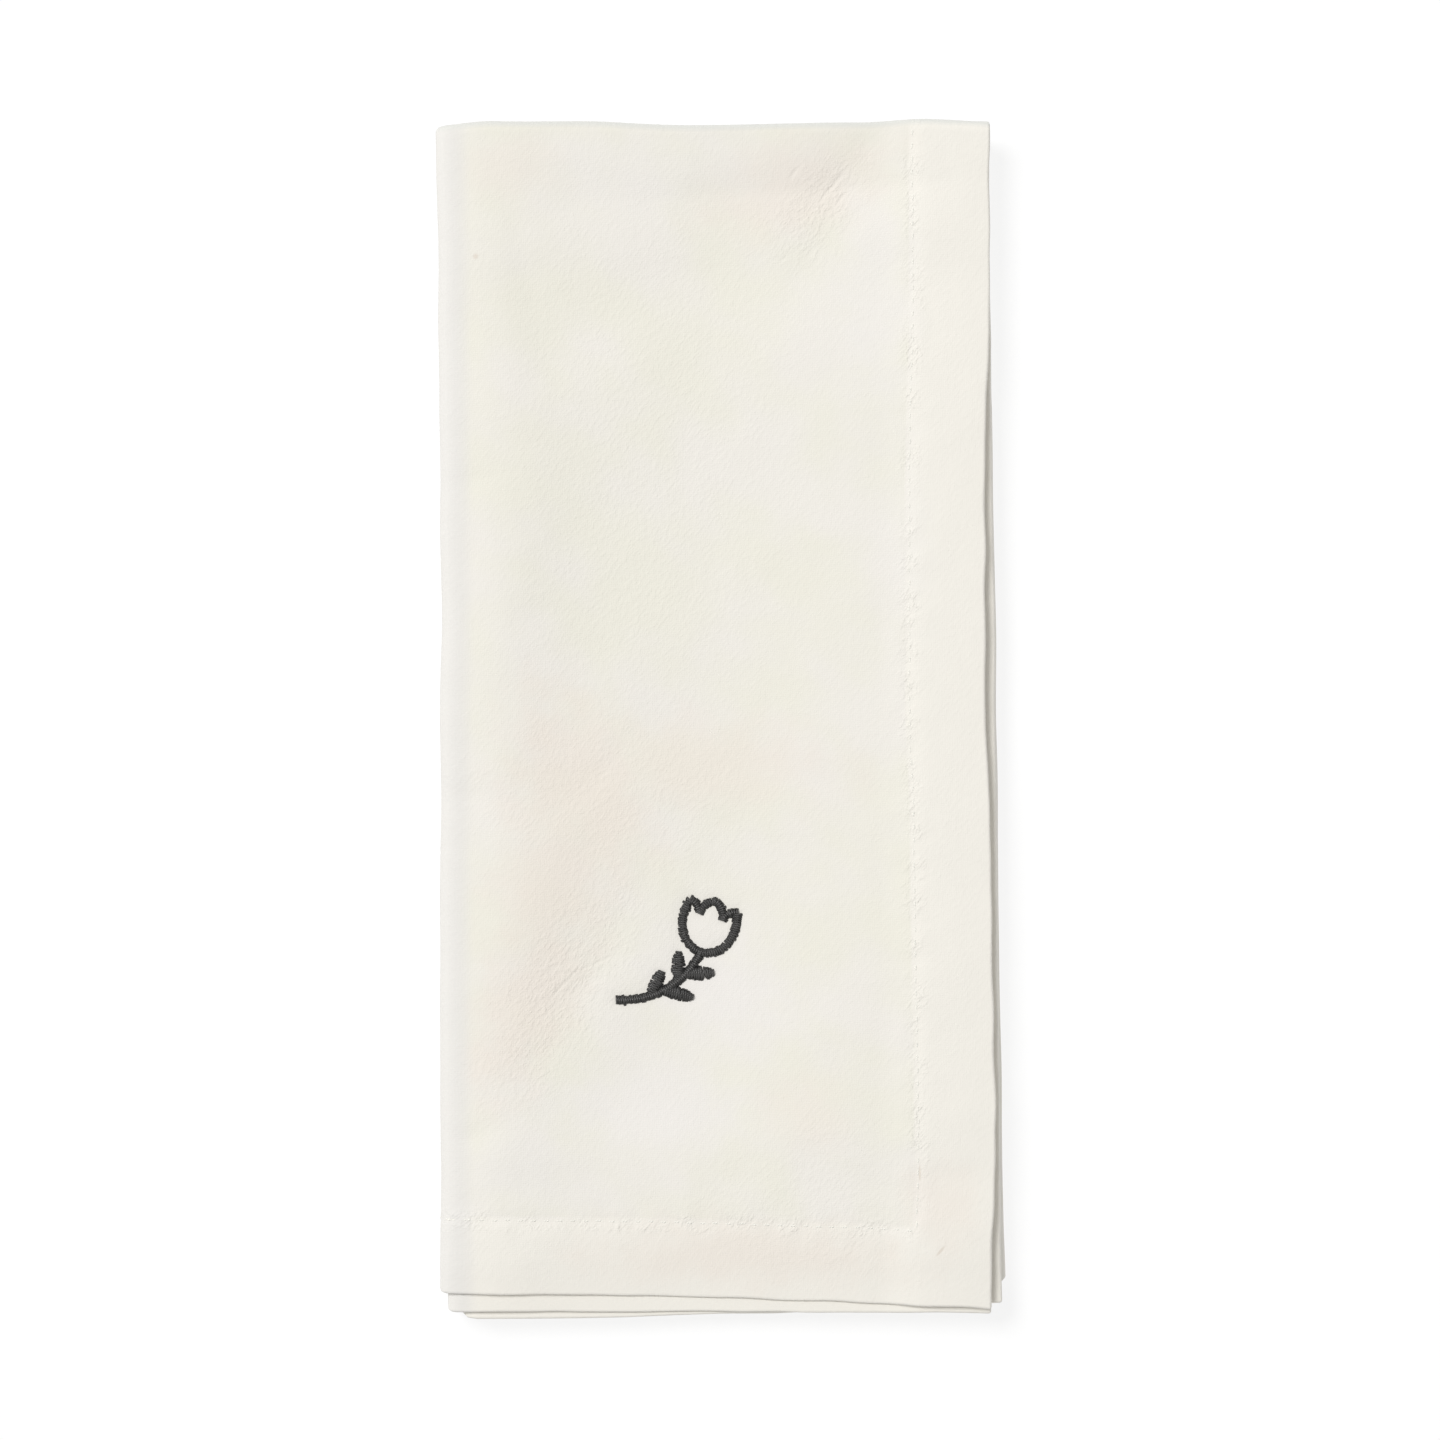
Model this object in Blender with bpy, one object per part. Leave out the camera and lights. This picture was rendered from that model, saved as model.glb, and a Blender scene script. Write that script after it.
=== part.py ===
"""A cloth napkin lying folded: a hemmed square of soft cotton, folded in half once from top to
bottom and then twice from side to side, so that it lies eight layers deep.

Run with: blender --background --python part.py
Metres, +Z up. The pile lies on z = 0 with the origin under the middle of its bounding box. The
top crease is at +Y, the hemmed edges are at -Y and +X, and the thick roll of folds is at -X.

The cloth starts flat, as a grid with a thickness. Each point of it is then carried through the
folds: over the top crease first, which leaves two plies, and then round the side folds.
"""

import math
from collections import namedtuple

import bmesh
import bpy

MM = 0.001

# Cloth
SHEET = 1.0 * MM  # thickness of the soft cloth as it lies
GAP = 0.3 * MM  # air between two layers
HEM = 14.8 * MM  # from the hemmed edge to its line of stitches
STITCH_DIP = 0.3  # share of the thickness that the stitches press in
STITCH_SPREAD = 1.5 * MM  # how far that dip reaches to each side
RIM = 0.4 * MM  # rounding of the hemmed edge
RIM_SHARE = 0.5  # share of the thickness left at the very edge

# Pile
LENGTH = 230.4 * MM  # from the middle of the top crease to the longest bottom edge
RIGHT_EDGE = 51.9 * MM  # the upper hem's edge, from the middle of the pile
LEFT_EDGE = -54.3 * MM  # the outer face of the thick roll
INNER_SLACK = 1.2 * MM  # how far the inner roll stays back from the outer one
SLANT = 1.8  # how late along a bottom edge its level turns to that at the right

# Springy folds and doubled hems, as shares of the pile's height
BOTTOM_HEM_SWELL = 0.15
TOP_CREASE_SWELL = 0.05
ROLL_SWELL = 0.06
MIDDLE_SAG = 0.08
SIDE_HEM_SWELL = 0.14  # on the four upper layers only: those below have no hem there
SWELL_POWER = 3  # a layer takes up a soft crease by this power of its height in the pile

PITCH = SHEET + GAP
PAIR = 2 * PITCH  # from one double layer to the next
HALF_PAIR = SHEET + GAP / 2  # from the middle of a double layer to its outer faces
HEIGHT = 4 * PAIR - GAP  # upper face of the pile, before it swells or sags
OUTER_RADIUS = 1.5 * PAIR
INNER_RADIUS = 0.5 * PAIR
CREASE_RADIUS = 0.5 * PITCH
RIGHT_BULGE = INNER_RADIUS + HALF_PAIR  # the right fold, past its middle line
WIDTH = RIGHT_EDGE - LEFT_EDGE - HEIGHT / 2  # from the rolls' middle line to the upper hem

# The cloth's ends and folds in the order in which the double layer meets them, in millimetres:
# how far each stops short at the top, and at the bottom on the outer and on the inner ply.
Fold = namedtuple("Fold", "top outer_ply inner_ply")
UPPER_HEM = Fold(0.0, 2.1, 1.2)
OUTER_ROLL = Fold(0.4, 5.0, 1.5)
RIGHT_FOLD = Fold(1.2, 6.4, 4.6)
INNER_ROLL = Fold(1.6, 2.5, 0.0)
SECOND_HEM = Fold(0.9, 3.6, 3.1)

# The outermost point of each side, in millimetres from the middle of the pile, by the share of
# the way down from the top crease to the bottom edges.
Side = namedtuple("Side", "down left upper second lower")
SIDES = (
    Side(0.00, -54.7, 51.9, 51.3, 51.2),
    Side(0.10, -54.8, 51.9, 51.8, 52.0),
    Side(0.30, -54.3, 51.0, 52.6, 53.0),
    Side(0.45, -54.2, 50.9, 53.0, 53.5),
    Side(0.65, -54.3, 52.1, 53.4, 53.9),
    Side(0.85, -54.3, 52.9, 53.9, 54.6),
    Side(1.00, -54.1, 52.2, 54.4, 55.0),
)

# The line of the top crease in millimetres, by the share of the way from the rolls to the hem.
Rise = namedtuple("Rise", "across up")
RISES = (
    Rise(-0.05, -1.0),
    Rise(0.06, 0.1),
    Rise(0.50, -0.5),
    Rise(0.75, 0.1),
    Rise(0.87, 0.5),
    Rise(1.00, 0.2),
)

# Soft ridges and troughs of the upper layers, in millimetres and degrees.
Swell = namedtuple("Swell", "name x y long short turn lift")
SWELLS = (
    Swell("trough by the side hem", 24, 98, 20, 11, 78, -0.6),
    Swell("valley at lower left", -32, -58, 26, 13, 42, -0.7),
    Swell("ridge above the valley", -42, -30, 26, 13, 60, 0.4),
    Swell("swell at lower right", 2, -58, 24, 16, 25, 0.5),
    Swell("swell at upper left", -20, 70, 30, 14, 70, 0.3),
)

# The four flat stretches between the folds, uppermost first, and their grid lines in
# millimetres from the right: from the hemmed edge, or from the middle of the right fold.
Stretch = namedtuple("Stretch", "level left right side outward lines")
UPPER = Stretch(3, OUTER_ROLL, UPPER_HEM, "upper", 1,
                (0, 0.4, 7, 13.3, 14.8, 16.3, 25, 35, 46, 58, 70, 81, 90, 96))
SECOND = Stretch(2, INNER_ROLL, SECOND_HEM, "second", -1,
                 (0, 0.4, 13.3, 25, 35, 46, 58, 70, 81, 92))
THIRD = Stretch(1, INNER_ROLL, RIGHT_FOLD, "lower", 1, (0, 12, 25, 38, 52, 66, 80, 91))
LOWEST = Stretch(0, OUTER_ROLL, RIGHT_FOLD, "lower", -1, (0, 12, 25, 38, 52, 66, 80, 92))
OUTER_STEPS = 8
INNER_STEPS = 5

# Grid lines of each ply from its bottom edge up, in millimetres, and the steps over the crease.
PLY_LINES = (0, 0.4, 13.3, 14.8, 16.3, 30, 44, 58, 73, 90, 108, 128, 150, 171, 190, 206, 218, 226)
CREASE_STEPS = 5

Column = namedtuple("Column", "stretch share over height face_x face_z inset")
Row = namedtuple("Row", "ply down over lift face_y face_z inset")


def eased(start, end, value):
    """0 before start, 1 past end, and an even curve between them."""
    t = min(max((value - start) / (end - start), 0.0), 1.0)
    return t * t * (3 - 2 * t)


def bell(distance, spread):
    """1 at no distance, falling evenly away to both sides."""
    return math.exp(-((distance / spread) ** 2))


def table_value(table, place, column):
    """A column of a table at a place along its first column, eased from row to row, in metres."""
    for low, high in zip(table, table[1:]):
        if place <= high[0]:
            break
    t = eased(low[0], high[0], place)
    return ((1 - t) * getattr(low, column) + t * getattr(high, column)) * MM


def flat_columns(stretch):
    """Grid columns of a flat stretch, from right to left."""
    height = HALF_PAIR + stretch.level * PAIR
    for line in stretch.lines:
        away = line * MM
        inset = math.inf if stretch.right is RIGHT_FOLD else away
        yield Column(stretch, 1 - away / WIDTH, 0.0, height, 0.0, stretch.outward, inset)


def turning_columns(stretch, share, middle, radius, start, end, outward, steps):
    """Grid columns round a side fold, between two angles in degrees about its middle line."""
    for step in range(steps + 1):
        angle = math.radians(start + (end - start) * step / steps)
        across, up = math.cos(angle), math.sin(angle)
        height = middle + radius * up
        yield Column(stretch, share, radius * across, height, outward * across, outward * up,
                     math.inf)


def all_columns():
    """Every grid column, along the double layer from the upper hem to the second one."""
    yield from flat_columns(UPPER)
    yield from turning_columns(UPPER, 0, HEIGHT / 2, OUTER_RADIUS, 90, 270, 1, OUTER_STEPS)
    yield from reversed(list(flat_columns(LOWEST))[1:])
    yield from turning_columns(LOWEST, 1, PAIR / 2 + HALF_PAIR, INNER_RADIUS, -90, 90, 1,
                               INNER_STEPS)
    yield from list(flat_columns(THIRD))[1:]
    yield from turning_columns(THIRD, 0, HEIGHT / 2, INNER_RADIUS, 270, 90, -1, INNER_STEPS)
    yield from reversed(list(flat_columns(SECOND)))


def all_rows():
    """Every grid row, from the outer ply's bottom edge over the crease to the inner ply's."""
    flat = [(1 - line * MM / LENGTH, line * MM) for line in PLY_LINES]
    for down, inset in flat:
        yield Row("outer_ply", down, 0.0, CREASE_RADIUS, 0.0, 1.0, inset)
    for step in range(CREASE_STEPS + 1):
        angle = math.pi * step / CREASE_STEPS
        back, up = math.sin(angle), math.cos(angle)
        yield Row("outer_ply", 0.0, CREASE_RADIUS * back, CREASE_RADIUS * up, back, up, math.inf)
    for down, inset in reversed(flat):
        yield Row("inner_ply", down, 0.0, -CREASE_RADIUS, 0.0, -1.0, inset)


def thickness_share(inset):
    """Share of the cloth's thickness at a distance in from its hemmed edge."""
    rim = min(RIM_SHARE + (1 - RIM_SHARE) * inset / RIM, 1.0)
    dip = STITCH_DIP * max(0.0, 1 - abs(inset - HEM) / STITCH_SPREAD)
    return rim * (1 - dip)


def swelling(x, y):
    """How much thicker or thinner than its flat layers the pile is at a place."""
    bottom = eased(30 * MM, 10 * MM, y + LENGTH / 2)
    top = eased(18 * MM, 4 * MM, LENGTH / 2 - y)
    roll = bell(x - LEFT_EDGE - 9 * MM, 8 * MM)
    middle = bell(x + 3 * MM, 34 * MM) * bell(y - 8 * MM, 90 * MM)
    return (1 + BOTTOM_HEM_SWELL * bottom + TOP_CREASE_SWELL * top + ROLL_SWELL * roll
            - MIDDLE_SAG * middle)


def soft_creases(x, y):
    """How far the soft ridges and troughs lift the upper face at a place."""
    lift = 0.0
    for swell in SWELLS:
        turn = math.radians(swell.turn)
        away_x, away_y = x - swell.x * MM, y - swell.y * MM
        along = away_x * math.cos(turn) + away_y * math.sin(turn)
        across = away_y * math.cos(turn) - away_x * math.sin(turn)
        lift += swell.lift * MM * bell(along, swell.long * MM) * bell(across, swell.short * MM)
    return lift


def settled(x, y, height):
    """Height of a point once the springy folds, doubled hems and soft creases move it."""
    if height < GAP:
        return 0.0
    side_hem = SIDE_HEM_SWELL * eased(22 * MM, 12 * MM, RIGHT_EDGE - x)
    height += side_hem * max(height - HEIGHT / 2, 0.0)
    height += soft_creases(x, y) * min(height / HEIGHT, 1.0) ** SWELL_POWER
    return height * swelling(x, y)


def folded(column, row, face):
    """Where a point of the flat cloth ends up. Its face is 1 for the outer and -1 for the inner."""
    share = thickness_share(min(column.inset, row.inset))
    depth = face * SHEET / 2 * share
    lift = row.lift + depth * row.face_z
    over_y = row.over + depth * row.face_y
    over_x = column.over + lift * column.face_x
    height = column.height + lift * column.face_z

    stretch = column.stretch
    left = table_value(SIDES, row.down, "left") + HEIGHT / 2
    if stretch.left is INNER_ROLL:
        left += INNER_SLACK
    right = table_value(SIDES, row.down, stretch.side)
    if stretch.right is RIGHT_FOLD:
        right -= RIGHT_BULGE
    x = left + (right - left) * column.share

    across = (x + over_x - left) / WIDTH
    late = column.share ** SLANT
    top_short = stretch.left.top + (stretch.right.top - stretch.left.top) * late
    at_left, at_right = getattr(stretch.left, row.ply), getattr(stretch.right, row.ply)
    bottom_short = at_left + (at_right - at_left) * late
    top = LENGTH / 2 - top_short * MM
    bottom = -LENGTH / 2 + bottom_short * MM
    y = top + (bottom - top) * row.down
    y += table_value(RISES, across, "up") * (1 - row.down) ** 3

    scale = swelling(x, y)
    x += over_x * scale
    y += over_y * scale
    return x, y, settled(x, y, height)


def fabric(name, colour, roughness):
    """A plain dull material."""
    material = bpy.data.materials.new(name)
    material.use_nodes = True
    shader = material.node_tree.nodes["Principled BSDF"]
    shader.inputs["Base Color"].default_value = (*colour, 1)
    shader.inputs["Roughness"].default_value = roughness
    shader.inputs["Metallic"].default_value = 0
    return material


def make_napkin(collection):
    """The flat cloth as a grid with a thickness, carried through its folds."""
    columns, rows = list(all_columns()), list(all_rows())
    mesh = bpy.data.meshes.new("napkin")
    bm = bmesh.new()
    bmesh.ops.create_grid(bm, x_segments=len(columns) - 1, y_segments=len(rows) - 1, size=0.5)
    inner = set(bm.verts)
    bmesh.ops.extrude_face_region(bm, geom=bm.faces[:])
    for vert in bm.verts:
        vert.co.z = -0.5 if vert in inner else 0.5
    bmesh.ops.recalc_face_normals(bm, faces=bm.faces[:])

    for vert in bm.verts:
        column = columns[round((0.5 - vert.co.x) * (len(columns) - 1))]
        row = rows[round((vert.co.y + 0.5) * (len(rows) - 1))]
        vert.co = folded(column, row, 2 * vert.co.z)

    for axis in (0, 1):
        places = [vert.co[axis] for vert in bm.verts]
        middle = (min(places) + max(places)) / 2
        for vert in bm.verts:
            vert.co[axis] -= middle

    bm.to_mesh(mesh)
    bm.free()
    mesh.shade_smooth()
    mesh.set_sharp_from_angle(angle=math.radians(50))
    mesh.materials.append(fabric("soft_cotton", (0.855, 0.838, 0.75), 0.92))
    napkin = bpy.data.objects.new("napkin", mesh)
    collection.objects.link(napkin)


for old in list(bpy.data.objects):
    bpy.data.objects.remove(old, do_unlink=True)
folded_napkin = bpy.data.collections.new("folded_napkin")
bpy.context.scene.collection.children.link(folded_napkin)
make_napkin(folded_napkin)
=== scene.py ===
import math
import random
from collections import namedtuple

import bmesh
import bpy
from mathutils import Matrix, Vector, geometry, kdtree, noise


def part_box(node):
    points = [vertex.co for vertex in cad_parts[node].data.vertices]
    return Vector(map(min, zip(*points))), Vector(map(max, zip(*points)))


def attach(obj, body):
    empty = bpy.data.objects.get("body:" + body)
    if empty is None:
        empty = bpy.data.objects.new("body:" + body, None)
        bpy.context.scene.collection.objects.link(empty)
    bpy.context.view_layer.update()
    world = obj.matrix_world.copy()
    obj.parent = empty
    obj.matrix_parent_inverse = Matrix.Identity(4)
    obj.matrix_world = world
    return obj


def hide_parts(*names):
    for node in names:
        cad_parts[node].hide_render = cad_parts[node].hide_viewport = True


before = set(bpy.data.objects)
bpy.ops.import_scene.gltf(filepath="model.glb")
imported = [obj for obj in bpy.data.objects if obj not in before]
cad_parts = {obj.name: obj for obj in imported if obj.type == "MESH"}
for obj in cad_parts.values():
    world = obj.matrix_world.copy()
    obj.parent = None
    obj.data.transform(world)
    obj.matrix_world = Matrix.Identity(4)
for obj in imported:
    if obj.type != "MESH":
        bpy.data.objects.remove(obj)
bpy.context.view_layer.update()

MM = 0.001

# ---------------------------------------------------------------------------------------------
# The folded cloth. One hemmed square of washed, softly crinkled cotton, folded in half over its
# top crease and then twice from side to side. It is made flat, as a fine grid with the cloth's
# own thickness, and every point is then carried through the folds that the solid has.
# ---------------------------------------------------------------------------------------------
PLAIN = 0.55 * MM  # one thickness of the cotton
HEMMED = 1.05 * MM  # pressed hem, with the edge turned in twice
HEM = 14.8 * MM  # from the hem's edge to its line of stitches
TURN_IN = 1.0 * MM  # the hem's turned edge, past the stitches
EDGE_ROUND = 0.5 * MM  # rounding of the hem's fold

# The pile, as the solid has it
LAYER = 1.0 * MM  # room that a layer takes
GAP = 0.3 * MM
LENGTH = 230.4 * MM
RIGHT_EDGE = 51.9 * MM
LEFT_EDGE = -54.3 * MM
INNER_SLACK = 1.2 * MM  # play between the outer roll and the inner one
SLANT = 1.8  # how late across a ply its ends' slant comes, where 1 is even

ROLL_SQUARE = 3.6  # 2 is a round roll, and more is a squarer one
FOLD_CORNER = 1.2 * MM  # rounding of the bottom corners, at a fold and at a hem
HEM_CORNER = 0.6 * MM
CORNER_REACH = 4 * MM  # how far up the sides that rounding goes

PITCH = LAYER + GAP
PAIR = 2 * PITCH
HALF_PAIR = LAYER + GAP / 2
HEIGHT = 4 * PAIR - GAP
OUTER_RADIUS = 1.5 * PAIR
INNER_RADIUS = 0.5 * PAIR
CREASE_RADIUS = 0.5 * PITCH
RIGHT_BULGE = INNER_RADIUS + HALF_PAIR
WIDTH = RIGHT_EDGE - LEFT_EDGE - HEIGHT / 2

# How much taller the pile stands towards an edge, as a share of its height, and how far in from
# the edge that starts and is full
Rim = namedtuple("Rim", "taller start full")
BOTTOM_HEMS = Rim(0.15, 30 * MM, 10 * MM)
TOP_CREASE = Rim(0.05, 18 * MM, 4 * MM)
SIDE_HEMS = Rim(0.14, 22 * MM, 12 * MM)

# And how much taller over the roll, and lower in its middle, with the middle and spread of each
ROLL_SWELL = 0.06
ROLL_IN, ROLL_SPREAD = 9 * MM, 8 * MM
MIDDLE_SAG = 0.08
SAG_X, SAG_Y = -3 * MM, 8 * MM
SAG_SPREAD_X, SAG_SPREAD_Y = 34 * MM, 90 * MM

# How far each end and fold stops short at the top, and at the bottom on each ply, in millimetres
Fold = namedtuple("Fold", "top outer_ply inner_ply")
UPPER_HEM = Fold(0.0, 2.1, 1.2)
OUTER_ROLL = Fold(0.4, 5.0, 1.5)
RIGHT_FOLD = Fold(1.2, 6.4, 4.6)
INNER_ROLL = Fold(1.6, 2.5, 0.0)
SECOND_HEM = Fold(0.9, 3.6, 3.1)

# The sides' outermost points by the share of the way down, in millimetres
Side = namedtuple("Side", "down left upper second lower")
SIDES = (
    Side(0.00, -55.0, 51.9, 51.3, 51.2),
    Side(0.10, -54.8, 51.9, 51.8, 52.0),
    Side(0.30, -54.3, 51.0, 52.6, 53.0),
    Side(0.45, -54.2, 50.9, 53.0, 53.5),
    Side(0.65, -54.3, 52.1, 53.4, 53.9),
    Side(0.85, -54.3, 52.9, 53.9, 54.6),
    Side(1.00, -53.5, 52.2, 54.4, 55.0),
)

# The top crease's line by the share of the way across, in millimetres
Rise = namedtuple("Rise", "across up")
RISES = (
    Rise(-0.05, -0.5),
    Rise(0.06, 0.5),
    Rise(0.50, -0.3),
    Rise(0.75, 0.1),
    Rise(0.87, 0.5),
    Rise(1.00, -0.1),
)

# Soft ridges and troughs of the upper layers, in millimetres and degrees
Swell = namedtuple("Swell", "name x y long short turn lift")
SWELLS = (
    Swell("trough by the side hem", 25, 98, 18, 11, 78, -0.5),
    Swell("shoulder of the roll", -38, 0, 120, 9, 90, 0.8),
    Swell("ridge above the valley", -31, -26, 34, 10, 72, 0.5),
    Swell("cushion by the valley", -22, -52, 20, 9, 60, 0.5),
    Swell("cushion above the bottom hem", -6, -88, 44, 11, -5, 1.0),
    Swell("swell at lower right", 14, -62, 24, 18, 30, 0.6),
    Swell("dip below the top hem", 8, 88, 34, 12, 8, -0.6),
    Swell("cushion along the top crease", -30, 94, 22, 12, -4, 0.8),
    Swell("cushion by the side hem", 36, 97, 20, 9, 0, 1.0),
    Swell("swell at upper left", -20, 70, 30, 14, 70, 0.3),
    Swell("bowl of the middle", -3, 10, 130, 29, 90, -1.3),
    Swell("rise to the side hem", 47, -30, 80, 14, 90, 0.3),
    Swell("fall to the lower right", 24, -78, 20, 12, -4, 0.8),
    Swell("hump at upper right", 18, 88, 20, 14, 60, 0.5),
    Swell("swell left of the middle", -17, -22, 30, 13, 76, 0.5),
    Swell("droop of the lower edge", 0, -118, 90, 19, 0, -2.0),
)

# Sharper creases of the upper layers, each looked along from its turn: how far it spreads on its
# left hand and its right hand, in millimetres and degrees
Crease = namedtuple("Crease", "name x y long left right turn lift")
CREASES = (
    Crease("foot of the lower left valley", -38, -66, 12, 7, 12, 41, -0.35),
    Crease("middle of the lower left valley", -26, -50, 17, 12, 16, 62, -0.7),
    Crease("head of the lower left valley", -14, -28, 19, 15, 20, 62, -0.5),
    Crease("upper right, by the side hem", 23, 101, 22, 9, 40, 62, -1.1),
    Crease("inner side of the roll, upper", -38, 88, 22, 8, 22, 104, -0.7),
    Crease("under the top crease", 14, 103, 32, 8, 17, 3, -1.25),
    Crease("fine crease in the valley", -28, -51, 8, 1.6, 2.2, 39, -0.22),
    Crease("fine crease above the valley", -23, -9, 9, 1.5, 2.0, 48, -0.16),
    Crease("fine crease at upper right", 20, 104, 8, 1.4, 2.0, 50, -0.2),
    Crease("second crease at upper right", 25, 97, 6, 1.4, 2.0, 47, -0.16),
    Crease("wrinkle over the roll, upper", -48, 47, 6, 1.3, 1.8, 12, -0.2),
    Crease("wrinkle over the roll, middle", -49, -14, 5, 1.3, 1.8, -14, -0.2),
    Crease("wrinkle over the roll, lower", -47, -79, 6, 1.4, 2.0, 20, -0.22),
)
CREASE_ROUND = 0.8 * MM
CREASE_POWER = 3  # how fast swells and creases fade down through the layers
UNEVEN = 0.28 * MM  # how far the folds and edges stray from true
SIDE_WAVES = (1.5, 13)  # of the sides' stray, across and down a ply
END_WAVES = (6, 2)
RISE_FADE = 3  # how fast the top crease's line fades down a ply

# The double layer's stretches and turns, in their order from the upper hem inwards
Stretch = namedtuple("Stretch", "level left right side outward")
UPPER = Stretch(3, OUTER_ROLL, UPPER_HEM, "upper", 1)
LOWEST = Stretch(0, OUTER_ROLL, RIGHT_FOLD, "lower", -1)
THIRD = Stretch(1, INNER_ROLL, RIGHT_FOLD, "lower", 1)
SECOND = Stretch(2, INNER_ROLL, SECOND_HEM, "second", -1)
Turn = namedtuple("Turn", "stretch share middle radius start end outward")
OUTER_TURN = Turn(LOWEST, 0, HEIGHT / 2, OUTER_RADIUS, 90, 270, 1)
RIGHT_TURN = Turn(LOWEST, 1, PAIR / 2 + HALF_PAIR, INNER_RADIUS, -90, 90, 1)
INNER_TURN = Turn(THIRD, 0, HEIGHT / 2, INNER_RADIUS, 270, 90, -1)
PATH = (UPPER, OUTER_TURN, LOWEST, RIGHT_TURN, THIRD, INNER_TURN, SECOND)


def path_length(part):
    """How much of the cloth's width a stretch or a turn takes."""
    return WIDTH if isinstance(part, Stretch) else math.pi * part.radius


CLOTH_WIDTH = sum(path_length(part) for part in PATH)
CREASE_LENGTH = math.pi * CREASE_RADIUS
CLOTH_LENGTH = 2 * LENGTH + CREASE_LENGTH


def eased(start, end, value):
    """A smooth step from 0 at start to 1 at end."""
    t = min(max((value - start) / (end - start), 0.0), 1.0)
    return t * t * (3 - 2 * t)


def bell(distance, spread):
    """A smooth hump, 1 where the distance is 0 and fading out over the spread."""
    return math.exp(-((distance / spread) ** 2))


def table_value(table, place, column):
    """A column's value at a place between the rows of a table whose first column is the place."""
    for low, high in zip(table, table[1:]):
        if place <= high[0]:
            break
    t = eased(low[0], high[0], place)
    return ((1 - t) * getattr(low, column) + t * getattr(high, column)) * MM


def across_folds(across):
    """Where a point along the cloth's width lies in the section of the side folds."""
    for part in PATH:
        if across <= path_length(part) or part is PATH[-1]:
            break
        across -= path_length(part)
    if isinstance(part, Stretch):
        share = across / WIDTH if part.outward < 0 else 1 - across / WIDTH
        height = HALF_PAIR + part.level * PAIR
        return part, share, 0.0, height, 0.0, part.outward
    angle = math.radians(part.start + (part.end - part.start) * across / path_length(part))
    side, up = math.cos(angle), math.sin(angle)
    height = part.middle + part.radius * up
    return part.stretch, part.share, part.radius * side, height, part.outward * side, part.outward * up


def over_crease(along):
    """Where a point along the cloth's length lies on the two plies that the top crease joins."""
    if along <= LENGTH:
        return "outer_ply", 1 - along / LENGTH, 0.0, CREASE_RADIUS, 0.0, 1.0
    if along >= LENGTH + CREASE_LENGTH:
        down = (along - LENGTH - CREASE_LENGTH) / LENGTH
        return "inner_ply", down, 0.0, -CREASE_RADIUS, 0.0, -1.0
    angle = (along - LENGTH) / CREASE_RADIUS
    back, up = math.sin(angle), math.cos(angle)
    return "outer_ply", 0.0, CREASE_RADIUS * back, CREASE_RADIUS * up, back, up


def squared(over_x, height):
    """The roll's round section made squarer, where the pile's weight has flattened it."""
    out, up = over_x * 2 / HEIGHT, height * 2 / HEIGHT - 1
    if out >= 0 or abs(up) < 1e-9:
        return over_x, height
    reach = (abs(out) ** ROLL_SQUARE + abs(up) ** ROLL_SQUARE) ** (1 / ROLL_SQUARE)
    grown = math.hypot(out, up) / reach
    return over_x * grown, (1 + up * grown) * HEIGHT / 2


def taller_at(rim, inward):
    """How much taller the pile stands at a distance in from its edge."""
    return rim.taller * eased(rim.start, rim.full, inward)


def swelling(x, y):
    """How many times its own height the pile stands, over its hems, roll and sagging middle."""
    tall = 1 + taller_at(BOTTOM_HEMS, y + LENGTH / 2) + taller_at(TOP_CREASE, LENGTH / 2 - y)
    tall += ROLL_SWELL * bell(x - LEFT_EDGE - ROLL_IN, ROLL_SPREAD)
    return tall - MIDDLE_SAG * (bell(x - SAG_X, SAG_SPREAD_X) * bell(y - SAG_Y, SAG_SPREAD_Y))


def away_from(form, x, y):
    """How far a place is from the middle of a swell or crease, along it and across it."""
    turn = math.radians(form.turn)
    away_x, away_y = x - form.x * MM, y - form.y * MM
    along = away_x * math.cos(turn) + away_y * math.sin(turn)
    across = away_y * math.cos(turn) - away_x * math.sin(turn)
    return along, across


def soft_creases(x, y):
    """How far the upper face rises over all its swells and creases."""
    lift = 0.0
    for swell in SWELLS:
        along, across = away_from(swell, x, y)
        lift += swell.lift * MM * bell(along, swell.long * MM) * bell(across, swell.short * MM)
    for crease in CREASES:
        along, across = away_from(crease, x, y)
        spread = (crease.left if across > 0 else crease.right) * MM
        away = math.hypot(across, CREASE_ROUND) - CREASE_ROUND
        lift += crease.lift * MM * bell(along, crease.long * MM) * math.exp(-away / spread)
    return lift


def settled(x, y, height):
    """The height of a point once the pile has swelled, sagged and creased."""
    height += taller_at(SIDE_HEMS, RIGHT_EDGE - x) * max(height - HEIGHT / 2, 0.0)
    height += soft_creases(x, y) * min(max(height, 0) / HEIGHT, 1.0) ** CREASE_POWER
    return max(height * swelling(x, y), 0.0)


def corner(inward, size):
    """How far a rounded corner's edge draws back, by the distance in from the side."""
    return size * (1 - math.sqrt(1 - min(max(1 - inward / size, 0.0), 1.0) ** 2))


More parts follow.
